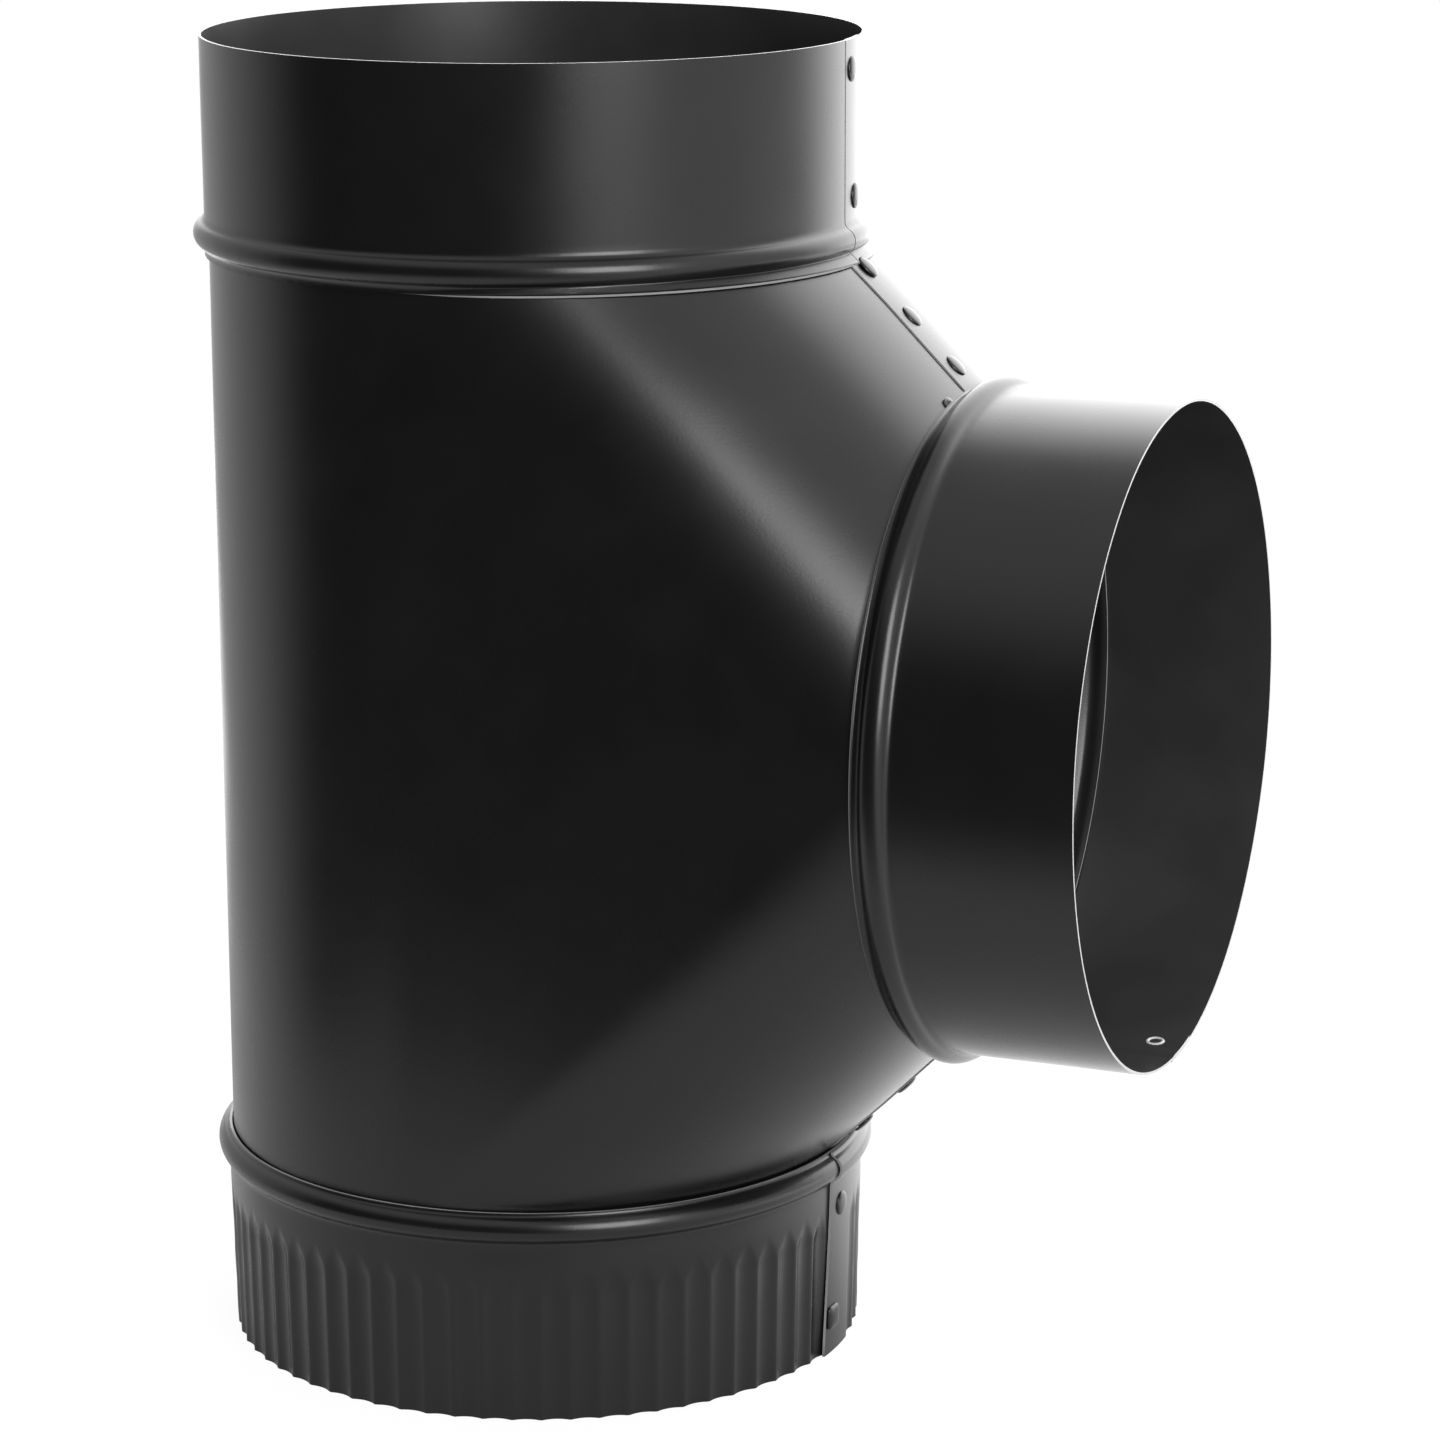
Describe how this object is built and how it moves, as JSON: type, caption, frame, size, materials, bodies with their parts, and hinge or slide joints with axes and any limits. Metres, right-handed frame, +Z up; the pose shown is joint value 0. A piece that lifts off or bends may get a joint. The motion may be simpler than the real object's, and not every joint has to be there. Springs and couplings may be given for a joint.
{
  "type": "stove pipe tee",
  "caption": "Single-wall stove pipe tee with a wedge-shaped body, beaded socket collars on the run and the branch, and a beaded, crimped lower end.",
  "frame": {"origin": "centre of the crimped lower end, in the plane of its edge", "axes": "+Z up the run, from the crimped end to the top socket, and +X along the branch, out of its socket"},
  "size_m": [0.2382, 0.1588, 0.3126],
  "materials": {
    "black_sheet": "satin black heat-resistant paint",
    "black_rivet": "satin black heat-resistant paint"
  },
  "bodies": {
    "root": {"body_shell": "black_sheet", "top_collar": "black_sheet", "branch_collar": "black_sheet", "bottom_collar": "black_sheet", "top_rivet_upper": "black_rivet", "top_rivet_lower": "black_rivet", "branch_rivet_outer": "black_rivet", "branch_rivet_inner": "black_rivet", "bottom_rivet_upper": "black_rivet", "bottom_rivet_lower": "black_rivet", "upper_crotch_rivet_1": "black_rivet", "upper_crotch_rivet_2": "black_rivet", "upper_crotch_rivet_3": "black_rivet", "lower_crotch_rivet_1": "black_rivet", "lower_crotch_rivet_2": "black_rivet", "lower_crotch_rivet_3": "black_rivet"}
  },
  "joints": []
}
